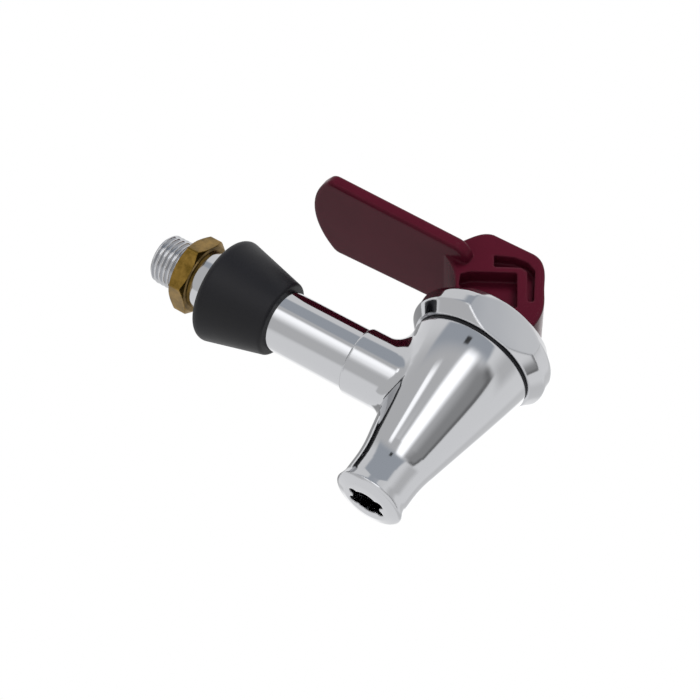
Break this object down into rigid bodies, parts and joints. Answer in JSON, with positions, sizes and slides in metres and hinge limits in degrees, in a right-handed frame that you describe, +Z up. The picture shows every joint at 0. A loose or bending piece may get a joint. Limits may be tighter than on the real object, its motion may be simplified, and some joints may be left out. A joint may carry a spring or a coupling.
{
  "type": "water boiler tap",
  "caption": "Self-closing lever tap: conical spout body on a threaded inlet shank with a rubber cone and lock nut, round bonnet, and a flat thumb lever on a sprung lifting stem.",
  "frame": {"origin": "on the inlet's axis, where the full thread ends and its lead chamfer begins", "axes": "+Y along the inlet, out of the tap and into the boiler; +Z up, along the stem; the spout's mouth faces -Z and the user stands at -Y"},
  "size_m": [0.0368, 0.1016, 0.0766],
  "materials": {
    "chromed_brass": "bright nickel-chrome plate, polished",
    "brass": "turned, slightly dull",
    "black_rubber": "moulded, satin",
    "maroon_plastic": "moulded, glossy",
    "white_acetal": "moulded, smooth",
    "silicone": "moulded, satin",
    "stainless_steel": "turned or drawn, bright"
  },
  "bodies": {
    "tap": {"tap_body": "chromed_brass", "inlet_shank": "chromed_brass", "shank_seal": "white_acetal", "rubber_cone": "black_rubber", "lock_nut": "brass", "bonnet": "chromed_brass", "bonnet_gasket": "black_rubber", "stem_bush": "white_acetal", "spring_washer": "stainless_steel", "return_spring": "stainless_steel", "seat_cup": "silicone"},
    "washer": {"thrust_washer": "white_acetal"},
    "stem": {"stem": "stainless_steel"},
    "lever": {"lever": "maroon_plastic", "handle_pin": "stainless_steel"}
  },
  "joints": [
    {"name": "lever_swivel", "type": "hinge", "parent": "tap", "child": "washer", "pos_m": [0, -0.0821, 0.024], "axis": [0, 0, 1], "continuous": true},
    {"name": "stem_lift", "type": "slide", "parent": "washer", "child": "stem", "axis": [0, 0, 1], "range_m": [0, 0.0031], "deforming": ["return_spring", "seat_cup"]},
    {"name": "lever_tilt", "type": "hinge", "parent": "stem", "child": "lever", "pos_m": [0, -0.0821, 0.0321], "axis": [-1, 0, 0], "range_deg": [0, 22], "stiffness_Nm_per_rad": 0.096, "springref_deg": -42.97}
  ],
  "couplings": [
    {"joint": "stem_lift", "follows": "lever_tilt", "m_per_rad": 0.008}
  ]
}
